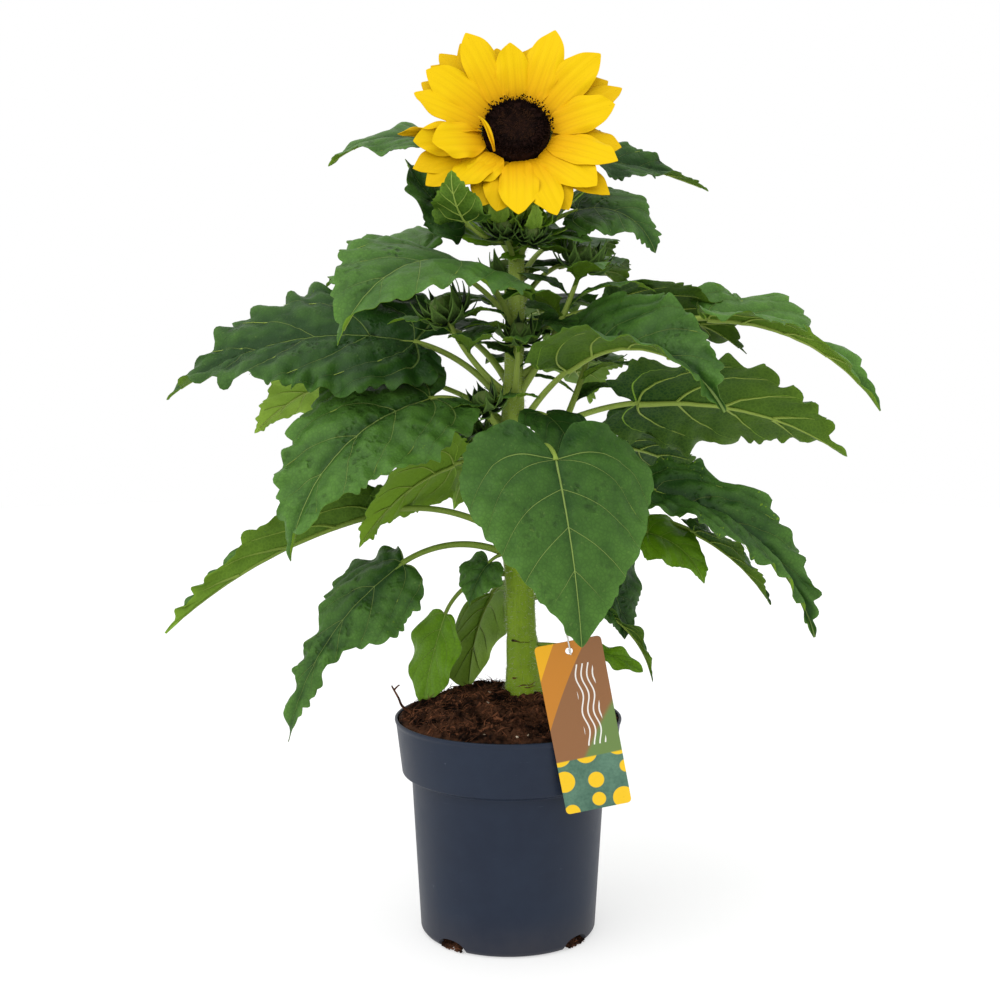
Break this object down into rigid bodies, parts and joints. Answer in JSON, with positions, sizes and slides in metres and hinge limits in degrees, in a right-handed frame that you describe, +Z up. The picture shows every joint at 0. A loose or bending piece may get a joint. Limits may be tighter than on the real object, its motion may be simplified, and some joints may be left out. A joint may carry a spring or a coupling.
{
  "type": "potted sunflower plant",
  "caption": "Young sunflower plant in a round nursery pot: one stem with an open yellow flower, large heart-shaped leaves, budded side shoots and a hanging label.",
  "frame": {"origin": "the middle of the pot's flat underside", "axes": "+Z is up along the stem; -Y is the side the flower faces; +X is to the right when the flower is looked at"},
  "size_m": [0.5344, 0.375, 0.6599],
  "materials": {
    "pot": "dark slate blue-grey, matte, lightly scuffed",
    "soil": "dark brown fibrous peat, dull and loose",
    "stem": "pale green, ribbed and finely hairy",
    "disc": "near-black brown florets, velvety",
    "petal": "warm yellow with orange-yellow bases, softly satin",
    "calyx": "mid green, hairy",
    "shoot": "mid green, slightly rough",
    "leaf": "deep green, puckered and slightly rough, paler below",
    "young_leaf": "light yellow-green, veined",
    "label": "printed card in yellow, orange, brown and green bands, satin",
    "tie": "off-white, dull"
  },
  "bodies": {
    "root": {"pot": "pot", "soil": "soil", "stem": "stem", "flower_disc": "disc", "flower_rays": "petal", "flower_calyx": "calyx", "shoot_left": "shoot", "shoot_front_left": "shoot", "shoot_front_right": "shoot", "shoot_right": "shoot", "shoot_right_back": "shoot", "shoot_back": "shoot", "shoot_back_left": "shoot", "leaf_low_right": "young_leaf", "leaf_low_back": "young_leaf", "leaf_low_tail": "leaf", "leaf_low_front_left": "young_leaf", "leaf_low_left": "leaf", "leaf_low_bud": "leaf", "leaf_low_far_left": "leaf", "leaf_right_dark": "leaf", "leaf_right_small": "young_leaf", "leaf_right_thin": "leaf", "leaf_right_low": "leaf", "leaf_front": "leaf", "leaf_back_low": "leaf", "leaf_back_low_left": "leaf", "leaf_left_under": "leaf", "leaf_left_front": "leaf", "leaf_right_mid_low": "leaf", "leaf_right_mid": "leaf", "leaf_right_front": "leaf", "leaf_centre_small": "leaf", "leaf_left_light": "young_leaf", "leaf_back_right": "leaf", "leaf_left_far": "leaf", "leaf_back_left": "leaf", "leaf_right_far": "leaf", "leaf_centre_upper": "leaf", "leaf_back": "leaf", "leaf_top_left_front": "leaf", "leaf_right_upper": "leaf", "leaf_back_upper_left": "leaf", "leaf_back_upper_right": "leaf", "leaf_back_top": "leaf", "leaf_back_top_left": "leaf", "leaf_top_right_mid": "leaf", "leaf_bract_left": "leaf", "leaf_bract_front": "leaf", "leaf_bract_right": "leaf", "leaf_top_right": "leaf", "leaf_top_left": "leaf", "label": "label", "label_tie": "tie"}
  },
  "joints": []
}
